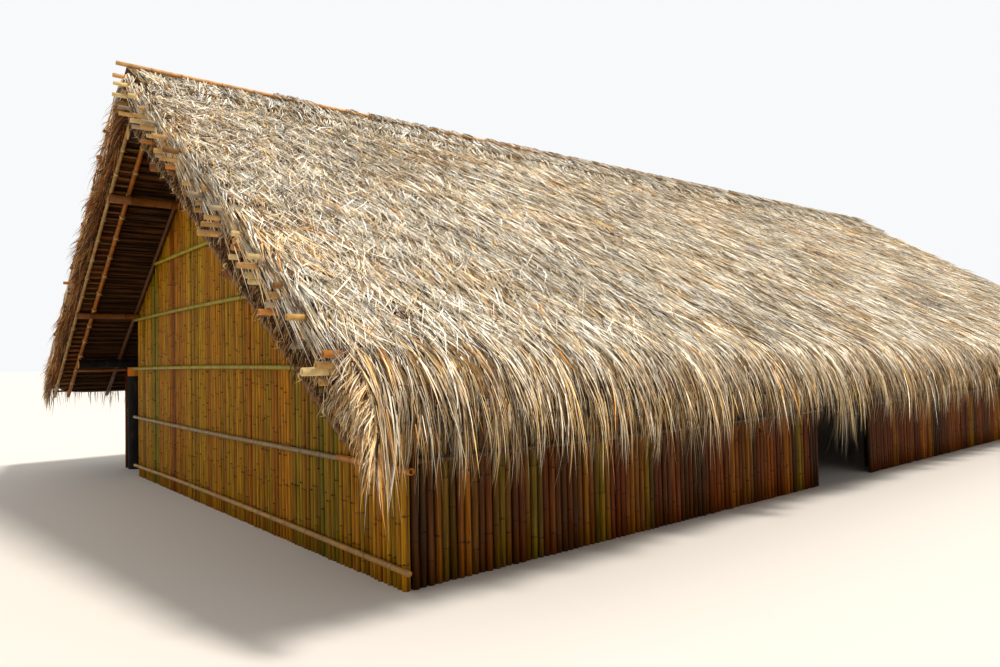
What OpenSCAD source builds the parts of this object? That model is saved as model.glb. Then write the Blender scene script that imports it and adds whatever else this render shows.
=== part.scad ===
// Bamboo house with a thatched gable roof, standing on the ground.
// X runs along the ridge, the long wall with the doorway faces -Y, Z is up,
// and the origin lies on the ground under the middle of the roof.

/* [Plan] */
// Distance between the middle planes of the two gable walls
house_length = 15000; // [11000:100:20000]
// Distance between the middle planes of the two long walls
wall_span = 8100; // [7000:50:9000]
// How far the thatch runs out past each gable wall
gable_overhang = 820; // [700:10:1200]
// How far the feet of the rafters reach out past the long walls
eave_overhang = 750; // [500:10:1000]
// Clear space that is left where one piece is seated on another
seat_gap = 0.3; // [0.2:0.1:0.5]

/* [Cane walls] */
// Diameter of one wall cane
cane_d = 68; // [55:1:85]
// Spacing that the canes of a wall come close to
cane_pitch = 65; // [50:1:66]
// Flat faces that stand for one side of a cane
cane_faces = 4; // [2:2:6]
// Height of the long walls
long_wall_h = 1520; // [1300:10:1540]
// Width of the doorway in the front wall
front_door_w = 1290; // [900:10:1800]
// Middle of the front doorway, measured from the middle of the house
front_door_x = -1240; // [-1600:10:-900]
// Clear width between each gable wall and the post at its back corner
gable_door_w = 780; // [600:10:1200]

/* [Battens and rails] */
// Diameter of the bamboo battens outside the gable walls
batten_d = 44; // [30:1:60]
// Height of the lowest batten
batten_first_h = 150; // [100:5:300]
// Spacing of the battens
batten_pitch = 685; // [600:5:700]
// Number of battens on a gable wall
batten_count = 5; // [3:1:5]
// How far a batten reaches past the end of its wall
batten_reach = 90; // [40:5:160]
// Height of the rail along the long walls
rail_h = 880; // [600:10:1200]
// How far the rail stops short of the corner
rail_setback = 60; // [20:5:150]
// Diameter of the rails between the canes of a long wall and its posts
inner_rail_d = 38; // [30:1:50]
// How far the upper inner rail lies below the top of the canes
top_rail_drop = 20; // [10:1:60]

/* [Frame] */
// Diameter of the charred wall posts
post_d = 244; // [200:2:280]
// Number of bays between the posts of a long wall
bay_count = 6; // [4:1:8]
// Diameter of the posts under the ridge
ridge_post_d = 180; // [140:2:240]
// Number of posts under the ridge
ridge_post_count = 4; // [2:1:6]
// Diameter of the log that lies on the wall posts
plate_d = 125; // [100:1:180]
// Height of the middle of that log
plate_h = 1595; // [1480:5:1700]
// How far that log runs out past each gable wall
plate_reach = 620; // [450:10:690]
// Diameter of the ridge beam
ridge_beam_d = 140; // [100:2:180]
// Diameter of the two purlins on each slope, upper one first
purlin_d = [100, 76];
// Distance of those purlins from the middle of the house
purlin_y = [880, 2860];

/* [Roof] */
// Angle of the roof
roof_angle = 32.2; // [30:0.2:35]
// Diameter of a rafter
rafter_d = 50; // [40:1:60]
// Diameter of the two rafters that stand outside a gable wall, outer one first
verge_rafter_d = [40, 50];
// Distance of those two rafters outside the gable wall
verge_rafter_out = [790, 600];
// Number of spaces between the rafters from gable wall to gable wall
rafter_spaces = 12; // [8:1:16]
// Diameter of the thin laths that carry the thatch
lath_d = 28; // [20:1:36]
// Spacing of the laths down the slope
lath_pitch = 115; // [80:5:160]
// Thickness of the thatch
thatch_t = 385; // [280:5:400]
// Number of thatch courses on each slope
course_count = 14; // [7:1:16]
// How far a course slants down over the next one
course_lap = 90; // [60:5:300]
// Height of the step at the lower end of a course
course_step = 36; // [15:1:60]
// Height of the hanging fringe above the ground
fringe_h = 990; // [900:10:1080]
// How far the fringe hangs out past the feet of the rafters
fringe_out = 330; // [200:10:400]

/* [Thatch sticks and ridge] */
// Diameter of the bamboo sticks that clamp the thatch
stick_d = 42; // [32:1:52]
// Thickness of the bamboo wall of a stick
stick_wall = 6; // [4:0.5:8]
// Depth of the hollow at each end of a stick
stick_hollow = 220; // [100:10:400]
// How far a stick sticks out of the gable edge of the thatch
stick_reach = 100; // [60:5:160]
// Where the sticks of a course lie in the thickness of the thatch
stick_levels = [0.38, 0.56, 0.74, 0.91];
// Thickness of the ridge cap
cap_t = 62; // [40:2:90]
// Width of the ridge cap on each slope
cap_w = 330; // [220:10:420]
// Diameter of the two ridge poles
ridge_pole_d = 46; // [36:1:60]
// How far the second ridge pole lies down the back of the ridge cap
second_pole_drop = 160; // [120:10:280]

/* [Hidden] */

half_length = house_length / 2;
half_span = wall_span / 2;
cane_r = cane_d / 2;
roof_end = half_length + gable_overhang;

// Posts stand close behind the gable canes, and behind the inner rail of a long wall
post_back = cane_r + seat_gap + post_d / 2;
post_x = half_length - post_back;
post_y = half_span - post_back - inner_rail_d - seat_gap;

// The rafter axis is the base line of each slope: it passes over the wall plate,
// and every layer of the roof lies at a distance n from it, s down the slope
plate_to_rafter = plate_d / 2 + seat_gap + rafter_d / 2;
ridge_h = plate_h + plate_to_rafter / cos(roof_angle) + post_y * tan(roof_angle);
function slope_y(s, n) = s * cos(roof_angle) + n * sin(roof_angle);
function slope_z(s, n) = ridge_h - s * sin(roof_angle) + n * cos(roof_angle);
function slope_point(s, n) = [slope_y(s, n), slope_z(s, n)];
// Place on the slope that lies y out from the middle of the house, at level n
function slope_at_y(y, n) = (y - n * sin(roof_angle)) / cos(roof_angle);

rafter_foot = slope_at_y(half_span + eave_overhang, 0);
lath_n = rafter_d / 2 + seat_gap + lath_d / 2;
thatch_n = lath_n + lath_d / 2 + seat_gap;
thatch_top_n = thatch_n + thatch_t;
// The courses share the slope between the ridge and the feet of the rafters
course_pitch = rafter_foot / course_count;
course_slant = course_lap / thatch_t;
lath_count = floor((rafter_foot - lath_pitch) / lath_pitch);

facets = 48;

// Outline of a row of touching canes, from the first cane's outer side to the last one's
function cane_arc(x, from, to, first) = [
    for (k = [first : cane_faces])
        let (turn = from + (to - from) * k / cane_faces)
            [x + cane_r * cos(turn), cane_r * sin(turn)]
];
function cane_side(count, pitch) =
    let (meet = acos(pitch / 2 / cane_r))
        [
            for (i = [0 : count - 1])
                each cane_arc(
                    cane_r + i * pitch,
                    i == 0 ? 180 : 180 - meet,
                    i == count - 1 ? 0 : meet,
                    i == 0 ? 0 : 1
                )
        ];
function flipped(points) = [for (i = [len(points) - 2 : -1 : 1]) [points[i].x, -points[i].y]];

// A wall of upright canes whose outer ends are row_length apart
module cane_row(row_length, h) {
    count = round((row_length - cane_d) / cane_pitch) + 1;
    pitch = (row_length - cane_d) / (count - 1);
    side = cane_side(count, pitch);
    linear_extrude(height = h)
        polygon(concat(side, flipped(side)));
}

// A round pole whose axis starts at the given point
module pole_x(from, to, y, z, d) {
    translate([from, y, z])
        rotate([0, 90, 0])
            cylinder(h = to - from, d = d, $fn = facets);
}

module pole_y(from, to, x, z, d) {
    translate([x, from, z])
        rotate([-90, 0, 0])
            cylinder(h = to - from, d = d, $fn = facets);
}

// A prism along the ridge, from an outline across the house
module along_ridge(from, to, outline) {
    translate([from, 0, 0])
        rotate([90, 0, 90])
            linear_extrude(height = to - from)
                polygon(outline);
}

// Every piece of a slope is drawn for the back and mirrored to the front
module front() {
    mirror([0, 1, 0])
        children();
}

module right() {
    mirror([1, 0, 0])
        children();
}

// Cane walls

gable_free_edge = post_y - post_d / 2 - gable_door_w;
gable_near_edge = half_span + cane_r;
// The gable canes end just under the laths
gable_top_n = rafter_d / 2;

function purlin_level(i) = -(rafter_d / 2 + seat_gap + purlin_d[i] / 2);
function purlin_height(i) =
    slope_z(slope_at_y(purlin_y[i], purlin_level(i)), purlin_level(i));
beam_drop = (rafter_d / 2 + seat_gap + ridge_beam_d / 2) / cos(roof_angle);
beam_h = ridge_h - beam_drop;

module gable_outline() {
    top_y = gable_near_edge + cane_d;
    top_s = slope_at_y(top_y, gable_top_n);
    peak = [0, ridge_h + gable_top_n / cos(roof_angle)];
    along_ridge(-half_length - cane_d, -half_length + cane_d, [
        [-top_y, 0],
        [top_y, 0],
        slope_point(top_s, gable_top_n),
        peak,
        [-top_y, slope_z(top_s, gable_top_n)]
    ]);
}

// The logs and purlins pass through the gable walls in holes of their own size
module beam_holes() {
    from = -half_length - cane_d;
    to = -half_length + cane_d;
    play = 2 * seat_gap;
    pole_x(from, to, 0, beam_h, ridge_beam_d + play);
    for (side = [-1, 1])
        for (i = [0, 1])
            pole_x(from, to, side * purlin_y[i], purlin_height(i), purlin_d[i] + play);
    pole_x(from, to, -post_y, plate_h, plate_d + play);
}

module gable_wall() {
    color([0.66, 0.44, 0.14])
        difference() {
            intersection() {
                translate([-half_length, -gable_near_edge, 0])
                    rotate([0, 0, 90])
                        cane_row(gable_near_edge + gable_free_edge, ridge_h + cane_d);
                gable_outline();
            }
            beam_holes();
        }
}

module gable_wall_left() {
    gable_wall();
}

module gable_wall_right() {
    right()
        gable_wall();
}

long_wall_end = half_length - cane_r - seat_gap;

module long_wall(from, to) {
    color([0.48, 0.22, 0.10])
        translate([from, 0, 0])
            cane_row(to - from, long_wall_h);
}

module front_wall_left() {
    translate([0, -half_span, 0])
        long_wall(-long_wall_end, front_door_x - front_door_w / 2);
}

module front_wall_right() {
    translate([0, -half_span, 0])
        long_wall(front_door_x + front_door_w / 2, long_wall_end);
}

module back_wall() {
    translate([0, half_span, 0])
        long_wall(-long_wall_end, long_wall_end);
}

// Battens and rails

batten_out = cane_r + seat_gap + batten_d / 2;

// The upper battens end where the roof comes down on them, and one that meets
// the wall plate ends at its side
function batten_half(h) = (ridge_h - h - batten_d) / tan(roof_angle);
function batten_near(h) =
    abs(h - plate_h) < (plate_d + batten_d) / 2 + seat_gap
        ? post_y - plate_d / 2 - seat_gap
        : gable_near_edge + batten_reach;

module gable_battens() {
    color([0.62, 0.52, 0.22])
        for (i = [0 : batten_count - 1]) {
            h = batten_first_h + i * batten_pitch;
            near = min(batten_near(h), batten_half(h));
            far = min(gable_free_edge + batten_reach, batten_half(h));
            pole_y(-near, far, -half_length - batten_out, h, batten_d);
        }
}

module gable_battens_left() {
    gable_battens();
}

module gable_battens_right() {
    right()
        gable_battens();
}

rail_end = half_length - rail_setback;
inner_rail_in = cane_r + seat_gap + inner_rail_d / 2;

// The canes of a long wall are held between an outer and an inner rail
module rail_pair(from, to) {
    color([0.50, 0.34, 0.16]) {
        pole_x(max(from, -rail_end), min(to, rail_end), half_span + batten_out, rail_h, batten_d);
        pole_x(from, to, half_span - inner_rail_in, rail_h, inner_rail_d);
    }
}

// A second inner rail holds the tops of the canes
module top_rail(end) {
    color([0.58, 0.46, 0.28])
        pole_x(-end, end, half_span - inner_rail_in, long_wall_h - top_rail_drop, inner_rail_d);
}

module front_rails() {
    front() {
        rail_pair(-long_wall_end, front_door_x - front_door_w / 2);
        rail_pair(front_door_x + front_door_w / 2, long_wall_end);
        top_rail(long_wall_end);
    }
}

// At the back the top rail runs out with the wall plate
module back_rails() {
    rail_pair(-long_wall_end, long_wall_end);
    top_rail(half_length + plate_reach);
}

// Log frame

// The top of a post is hollowed to the round of the log that lies on it
module saddled_post(d, h, log_d) {
    difference() {
        cylinder(h = h, d = d, $fn = facets);
        translate([0, 0, h])
            pole_x(-d, d, 0, 0, log_d + 2 * seat_gap);
    }
}

module wall_posts() {
    color([0.10, 0.08, 0.07])
        for (i = [0 : bay_count])
            translate([-post_x + i * 2 * post_x / bay_count, post_y, 0])
                saddled_post(post_d, plate_h, plate_d);
}

module wall_posts_front() {
    front()
        wall_posts();
}

module wall_posts_back() {
    wall_posts();
}

module ridge_posts() {
    color([0.16, 0.12, 0.09])
        for (i = [0 : ridge_post_count - 1])
            translate([-post_x + i * 2 * post_x / (ridge_post_count - 1), 0, 0])
                saddled_post(ridge_post_d, beam_h, ridge_beam_d);
}

module wall_plate() {
    reach = half_length + plate_reach;
    color([0.14, 0.10, 0.09])
        pole_x(-reach, reach, post_y, plate_h, plate_d);
}

module wall_plate_front() {
    front()
        wall_plate();
}

module wall_plate_back() {
    wall_plate();
}

purlin_end = half_length + verge_rafter_out[0] + verge_rafter_d[0] / 2;

module ridge_beam() {
    color([0.22, 0.14, 0.09])
        pole_x(-purlin_end, purlin_end, 0, beam_h, ridge_beam_d);
}

module purlins() {
    color([0.42, 0.20, 0.09])
        for (i = [0, 1])
            pole_x(-purlin_end, purlin_end, purlin_y[i], purlin_height(i), purlin_d[i]);
}

module purlins_front() {
    front()
        purlins();
}

module purlins_back() {
    purlins();
}

// Rafters and laths

// The rafters of both slopes are cut upright where they meet over the ridge beam
module rafter(x, d) {
    level = (d - rafter_d) / 2;
    upper = slope_at_y(-d, level);
    difference() {
        translate([x, slope_y(upper, level), slope_z(upper, level)])
            rotate([-90 - roof_angle, 0, 0])
                cylinder(h = rafter_foot - upper, d = d, $fn = facets);
        translate([x - d, -4 * d + seat_gap, ridge_h - 4 * d])
            cube([2 * d, 4 * d, 8 * d]);
    }
}

wall_rafter_x = half_length + cane_r + seat_gap + rafter_d / 2;

module rafters() {
    color([0.52, 0.33, 0.15]) {
        for (i = [0 : rafter_spaces])
            rafter(-wall_rafter_x + i * 2 * wall_rafter_x / rafter_spaces, rafter_d);
        for (side = [-1, 1])
            for (i = [0, 1])
                rafter(side * (half_length + verge_rafter_out[i]), verge_rafter_d[i]);
    }
}

module rafters_front() {
    front()
        rafters();
}

module rafters_back() {
    rafters();
}

module laths() {
    color([0.30, 0.20, 0.12])
        for (i = [0 : lath_count])
            let (place = slope_point(lath_pitch / 2 + i * lath_pitch, lath_n))
                pole_x(-roof_end, roof_end, place.x, place.y, lath_d);
}

module laths_front() {
    front()
        laths();
}

module laths_back() {
    laths();
}

// Thatch

// Lower edge of course i on the underside of the thatch, counted from the ridge
function course_edge(i) = i * course_pitch;
function ridge_side(n) = slope_at_y(seat_gap / 2, n);
// Level of the upper face of the first course, s down the slope
function first_top(s) =
    let (upper = ridge_side(thatch_top_n), lower = course_edge(1) + course_lap)
        thatch_top_n + course_step * (s - upper) / (lower - upper);

function course_start(i) =
    i == 0
        ? [slope_point(ridge_side(thatch_top_n), thatch_top_n), slope_point(ridge_side(thatch_n), thatch_n)]
        : [
            slope_point(course_edge(i) + seat_gap + course_lap, thatch_top_n),
            slope_point(course_edge(i) + seat_gap, thatch_n)
        ];

function course_end(i) = [
    slope_point(course_edge(i + 1), thatch_n),
    slope_point(
        course_edge(i + 1) + course_lap + course_slant * course_step,
        thatch_top_n + course_step
    )
];

// The last course bends down into the hanging fringe
fringe_tip = [slope_y(rafter_foot, 0) + fringe_out, fringe_h];
fringe_w = 90;
bend_steps = 7;
bend_reach = 60;
function bend(a, b, c, t) = a * (1 - t) * (1 - t) + b * 2 * t * (1 - t) + c * t * t;
function eave_end() =
    let (
        last = course_count - 1,
        upper = course_start(last)[0],
        shoulder = slope_point(course_edge(last + 1) + bend_reach, thatch_top_n + course_step)
    )
        concat(
            [slope_point(course_edge(last + 1), thatch_n), fringe_tip - [fringe_w, 0]],
            [for (k = [bend_steps : -1 : 1]) bend(upper, shoulder, fringe_tip, k / bend_steps)]
        );

function course_outline(i) = concat(course_start(i), i == course_count - 1 ? eave_end() : course_end(i));

// Each lap holds its sticks, half in the upper course and half in the lower one,
// and the first course holds one more row beside the ridge
function stick_place(i, level) =
    slope_point(course_edge(i) + seat_gap / 2 + course_lap * level, thatch_n + thatch_t * level);

module sticks_of_lap(i, d, reach) {
    for (level = stick_levels)
        let (place = stick_place(i, level))
            pole_x(-roof_end - reach, roof_end + reach, place.x, place.y, d);
}

module thatch_course(i) {
    difference() {
        along_ridge(-roof_end, roof_end, course_outline(i));
        for (lap = [i : min(i + 1, course_count - 1)])
            sticks_of_lap(lap, stick_d + 2 * seat_gap, cane_d);
    }
}

// Each node holds the courses of one seventh of a slope
group_count = 7;
function group_start(group) = round((group - 1) * course_count / group_count);

module thatch(group) {
    color([0.76, 0.66, 0.48])
        for (i = [group_start(group) : group_start(group + 1) - 1])
            thatch_course(i);
}

module thatch_front(group) {
    front()
        thatch(group);
}

module hollow_ends(place) {
    for (side = [-1, 1])
        translate([side * (roof_end + stick_reach), 0, 0])
            pole_x(-stick_hollow, stick_hollow, place.x, place.y, stick_d - 2 * stick_wall);
}

module thatch_sticks() {
    color([0.80, 0.62, 0.26])
        for (i = [0 : course_count - 1])
            for (level = stick_levels)
                let (place = stick_place(i, level))
                    difference() {
                        pole_x(-roof_end - stick_reach, roof_end + stick_reach, place.x, place.y, stick_d);
                        hollow_ends(place);
                    }
}

module thatch_sticks_front() {
    front()
        thatch_sticks();
}

module thatch_sticks_back() {
    thatch_sticks();
}

// Ridge

cap_under = seat_gap / cos(roof_angle);
cap_inner = [0, slope_z(slope_at_y(0, thatch_top_n), thatch_top_n) + cap_under];
cap_peak = cap_inner + [0, cap_t / cos(roof_angle)];
cap_lower = slope_point(cap_w, first_top(cap_w) + seat_gap);
cap_outer = slope_point(cap_w, first_top(cap_w) + seat_gap + cap_t);

module ridge_cap() {
    color([0.52, 0.42, 0.30])
        along_ridge(-roof_end, roof_end, [
            cap_inner,
            cap_lower,
            cap_outer,
            cap_peak,
            [-cap_outer.x, cap_outer.y],
            [-cap_lower.x, cap_lower.y]
        ]);
}

// One pole lies on the peak of the cap and one on its back
module ridge_pole() {
    reach = roof_end + stick_reach;
    lift = seat_gap + ridge_pole_d / 2;
    fall = (cap_outer - cap_peak) / norm(cap_outer - cap_peak);
    top = cap_peak + [0, lift];
    second = cap_peak + fall * second_pole_drop + [-fall.y, fall.x] * lift;
    color([0.78, 0.50, 0.22]) {
        pole_x(-reach, reach, top.x, top.y, ridge_pole_d);
        pole_x(-reach, reach, second.x, second.y, ridge_pole_d);
    }
}

gable_wall_left();
gable_wall_right();
front_wall_left();
front_wall_right();
back_wall();
gable_battens_left();
gable_battens_right();
front_rails();
back_rails();
wall_posts_front();
wall_posts_back();
ridge_posts();
wall_plate_front();
wall_plate_back();
ridge_beam();
purlins_front();
purlins_back();
rafters_front();
rafters_back();
laths_front();
laths_back();
thatch_front(1);  // thatch_front_1
thatch_front(2);  // thatch_front_2
thatch_front(3);  // thatch_front_3
thatch_front(4);  // thatch_front_4
thatch_front(5);  // thatch_front_5
thatch_front(6);  // thatch_front_6
thatch_front(7);  // thatch_front_7
thatch(1);  // thatch_back_1
thatch(2);  // thatch_back_2
thatch(3);  // thatch_back_3
thatch(4);  // thatch_back_4
thatch(5);  // thatch_back_5
thatch(6);  // thatch_back_6
thatch(7);  // thatch_back_7
thatch_sticks_front();
thatch_sticks_back();
ridge_cap();
ridge_pole();
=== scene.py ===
"""Bamboo house with a thatched gable roof: canes, poles, logs, thatch and their finish."""
import math

import bpy
import numpy as np
from mathutils import Matrix, Vector

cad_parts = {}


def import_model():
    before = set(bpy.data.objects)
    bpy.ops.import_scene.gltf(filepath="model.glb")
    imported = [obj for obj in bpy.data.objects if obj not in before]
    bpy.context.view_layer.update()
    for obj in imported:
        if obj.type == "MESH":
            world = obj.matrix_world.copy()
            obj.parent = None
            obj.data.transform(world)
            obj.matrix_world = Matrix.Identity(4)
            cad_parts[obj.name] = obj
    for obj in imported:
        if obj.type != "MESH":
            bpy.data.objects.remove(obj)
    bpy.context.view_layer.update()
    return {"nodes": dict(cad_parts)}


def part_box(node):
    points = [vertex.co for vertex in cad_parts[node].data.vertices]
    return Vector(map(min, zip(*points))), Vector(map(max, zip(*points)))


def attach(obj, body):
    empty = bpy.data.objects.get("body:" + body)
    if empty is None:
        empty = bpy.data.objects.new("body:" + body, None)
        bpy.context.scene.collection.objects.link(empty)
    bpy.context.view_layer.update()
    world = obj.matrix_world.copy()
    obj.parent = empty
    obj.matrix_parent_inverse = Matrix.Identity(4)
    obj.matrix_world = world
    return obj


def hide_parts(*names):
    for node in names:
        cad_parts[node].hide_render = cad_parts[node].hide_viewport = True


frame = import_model()

SIDES = ((-1, "front"), (1, "back"))
ENDS = ((-1, "left"), (1, "right"))

# Sizes of the roof, as the construction has them

ROOF_ANGLE = math.radians(32.2)
SEAT = 0.0003
RAFTER_D = 0.050
LATH_D = 0.028
THATCH_T = 0.385
COURSES = 14
COURSE_LAP = 0.090
COURSE_STEP = 0.036
EAVE_OUT = 0.750
TIE_RAFTER_OUT = 0.600
FRINGE_OUT = 0.330
FRINGE_Z = 0.990
BEND_REACH = 0.060
STICK_D = 0.042
CANE_PITCH = 0.065
RIDGE_LIFT = 0.062

# Sizes that the frame holds

gable_x = sum(c.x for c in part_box("gable_wall_right")) / 2
wall_y = sum(c.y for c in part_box("back_wall")) / 2
cane_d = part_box("back_wall")[1].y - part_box("back_wall")[0].y
wall_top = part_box("back_wall")[1].z
gable_near_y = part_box("gable_wall_left")[0].y
gable_far_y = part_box("gable_wall_left")[1].y
roof_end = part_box("thatch_front_1")[1].x
stick_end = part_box("thatch_sticks_front")[1].x
plate_low, plate_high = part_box("wall_plate_back")
plate_d = plate_high.z - plate_low.z
plate_y = (plate_low.y + plate_high.y) / 2
plate_z = (plate_low.z + plate_high.z) / 2

# Places on the roof: s runs down the slope from the ridge, and n out from the rafters

COS = math.cos(ROOF_ANGLE)
SIN = math.sin(ROOF_ANGLE)
ridge_h = plate_z + (plate_d / 2 + SEAT + RAFTER_D / 2) / COS + plate_y * math.tan(ROOF_ANGLE)
lath_n = RAFTER_D / 2 + SEAT + LATH_D / 2
thatch_n = lath_n + LATH_D / 2 + SEAT
top_n = thatch_n + THATCH_T
tie_rafter_x = gable_x + TIE_RAFTER_OUT
rafter_foot = (wall_y + EAVE_OUT) / COS
course_pitch = rafter_foot / COURSES


def slope_yz(s, n):
    """Place on the back slope: y and z."""
    return s * COS + n * SIN, ridge_h - s * SIN + n * COS


# Colours, as sRGB


def linear(colour):
    c = np.asarray(colour, float)
    return np.where(c <= 0.04045, c / 12.92, ((c + 0.055) / 1.055) ** 2.4)


STRAW = {
    "cream": (0.98, 0.96, 0.91),
    "pale": (0.95, 0.90, 0.80),
    "tan": (0.88, 0.78, 0.62),
    "gold": (0.86, 0.71, 0.46),
    "orange": (0.80, 0.55, 0.26),
    "grey": (0.66, 0.62, 0.55),
    "brown": (0.46, 0.34, 0.21),
    "dark": (0.22, 0.15, 0.08),
}
CANE = {
    "gold": (0.74, 0.52, 0.02),
    "amber": (0.71, 0.44, 0.01),
    "olive": (0.54, 0.46, 0.02),
    "green": (0.42, 0.40, 0.04),
    "red": (0.57, 0.29, 0.01),
    "rust": (0.40, 0.18, 0.01),
    "dark": (0.27, 0.16, 0.02),
}


def palette(table, weights):
    """Colours of a table and the share that each has, for pick."""
    names = list(weights)
    share = np.array([weights[n] for n in names], float)
    return np.array([linear(table[n]) for n in names]), share / share.sum()


def pick(rng, choice, count, spread):
    """Random palette colours, each a little lighter or darker than written."""
    colours, share = choice
    chosen = colours[rng.choice(len(share), size=count, p=share)]
    return chosen * rng.normal(1.0, spread, (count, 1)).clip(0.55, 1.45)


# Mesh building


class Shape:
    """Collects points, faces and a tint for each point, and becomes one object."""

    def __init__(self):
        self.points = []
        self.tints = []
        self.quads = []
        self.tris = []
        self.count = 0

    def add(self, points, tints, quads=(), tris=()):
        self.points.append(np.asarray(points, np.float32))
        self.tints.append(np.asarray(tints, np.float32))
        self.quads.append(np.asarray(quads, np.int64).reshape(-1, 4) + self.count)
        self.tris.append(np.asarray(tris, np.int64).reshape(-1, 3) + self.count)
        self.count += len(points)

    def build(self, name, material, smooth=True):
        points = np.concatenate(self.points)
        tints = np.concatenate(self.tints)
        quads = np.concatenate(self.quads)
        tris = np.concatenate(self.tris)
        mesh = bpy.data.meshes.new(name)
        mesh.vertices.add(len(points))
        mesh.vertices.foreach_set("co", points.ravel())
        corners = np.concatenate([quads.ravel(), tris.ravel()])
        mesh.loops.add(len(corners))
        mesh.loops.foreach_set("vertex_index", corners)
        sizes = np.concatenate([np.full(len(quads), 4), np.full(len(tris), 3)])
        starts = np.concatenate([[0], np.cumsum(sizes)[:-1]])
        mesh.polygons.add(len(sizes))
        mesh.polygons.foreach_set("loop_start", starts)
        mesh.polygons.foreach_set("loop_total", sizes)
        mesh.polygons.foreach_set("use_smooth", np.full(len(sizes), smooth))
        colour = mesh.attributes.new("tint", "FLOAT_COLOR", "POINT")
        colour.data.foreach_set("color", np.c_[tints, np.ones(len(tints))].ravel())
        mesh.update(calc_edges=True)
        mesh.validate()
        mesh.materials.append(material)
        piece = bpy.data.objects.new(name, mesh)
        bpy.context.scene.collection.objects.link(piece)
        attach(piece, "root")
        return piece


def unit(v):
    return v / np.maximum(np.linalg.norm(v, axis=-1, keepdims=True), 1e-9)


def square_to(along):
    """A unit direction square to one direction, or to each of a path."""
    first = along.reshape(-1, 3)[0]
    helper = (0.0, 0.0, 1.0) if abs(first[2]) < 0.7 else (1.0, 0.0, 0.0)
    return unit(np.cross(along, helper))


def ring_quads(rings, sides):
    """Faces between each ring of a tube and the next."""
    i = np.arange(rings - 1)[:, None] * sides
    j = np.arange(sides)[None, :]
    k = (j + 1) % sides
    return np.stack([i + j, i + k, i + sides + k, i + sides + j], -1).reshape(-1, 4)


def ring_points(path, radii, sides, turn=0.0):
    """Rings round a path, each square to it."""
    path = np.asarray(path, float)
    along = unit(np.gradient(path, axis=0))
    across = square_to(along)
    up = np.cross(across, along)
    angle = turn + np.arange(sides) * 2 * math.pi / sides
    circle = across[:, None] * np.cos(angle)[None, :, None] + up[:, None] * np.sin(angle)[None, :, None]
    return path[:, None] + circle * np.asarray(radii, float).reshape(len(path), -1)[:, :, None]


def cap_tris(first, sides, centre, flip):
    """Faces from a ring to one point."""
    j = np.arange(sides)
    k = (j + 1) % sides
    fan = np.stack([first + k, first + j, np.full(sides, centre)], -1)
    return fan[:, ::-1] if flip else fan


NODE_W = 0.010
NODE_RISE = 0.085
NODE_SHADE = 0.42
GAP_PAINTED_SHADE = 0.26
CUT_SHADE = 1.1
WALL_SHADE = 1.15
BORE_PAINTED_SHADE = 0.10


def node_places(rng, length, gap, reach=None):
    """Places of the nodes along a pole, only near its two ends where reach is given."""
    places = np.arange(rng.uniform(0.3, 0.9) * gap, length - NODE_W * 2, gap)
    places = places + rng.uniform(-0.12, 0.12, len(places)) * gap
    if reach:
        places = places[(places < reach) | (places > length - reach)]
    return places[(places > NODE_W * 2) & (places < length - NODE_W * 2)]


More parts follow.
